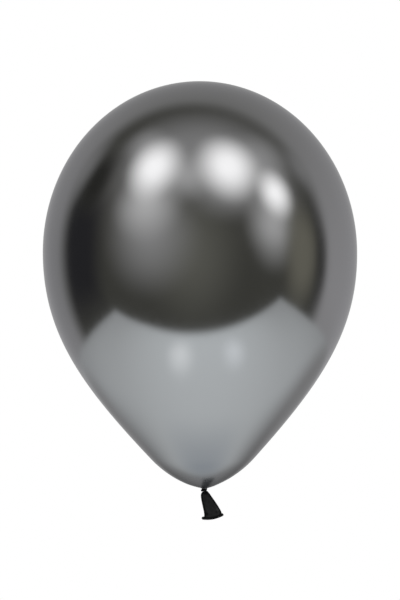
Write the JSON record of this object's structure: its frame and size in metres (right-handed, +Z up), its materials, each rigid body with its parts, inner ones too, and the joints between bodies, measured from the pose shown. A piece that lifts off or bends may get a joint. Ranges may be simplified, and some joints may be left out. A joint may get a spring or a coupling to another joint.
{
  "type": "chrome latex party balloon",
  "caption": "Round pear-shaped party balloon in graphite chrome latex, blown up and knotted, with a flared neck tail and rolled lip.",
  "frame": {"origin": "mount neck_tie: the middle of the throat, where the envelope's film is drawn together just above the knot", "axes": "+Z up along the balloon's long axis from the knot to the crown, +X to the right as pictured (the tail leans that way), +Y away from the viewer"},
  "size_m": [0.3, 0.3, 0.419],
  "materials": {
    "chrome_film": "gloss",
    "dark_latex": "satin"
  },
  "bodies": {
    "envelope": {"envelope": "chrome_film", "neck_throat": "chrome_film"},
    "knot": {"knot_loop": "dark_latex", "knot_core": "dark_latex"},
    "tail": {"neck_tail": "dark_latex", "rolled_lip": "dark_latex"}
  },
  "joints": [
    {"name": "knot_rock", "type": "hinge", "parent": "envelope", "child": "knot", "pos_m": [0, 0, -0.0016], "axis": [1, 0, 0], "range_deg": [-25, 25], "stiffness_Nm_per_rad": 0.001},
    {"name": "tail_swing", "type": "hinge", "parent": "knot", "child": "tail", "pos_m": [0, 0, -0.0047], "axis": [0, 1, 0], "range_deg": [-30, 60], "stiffness_Nm_per_rad": 0.001}
  ]
}
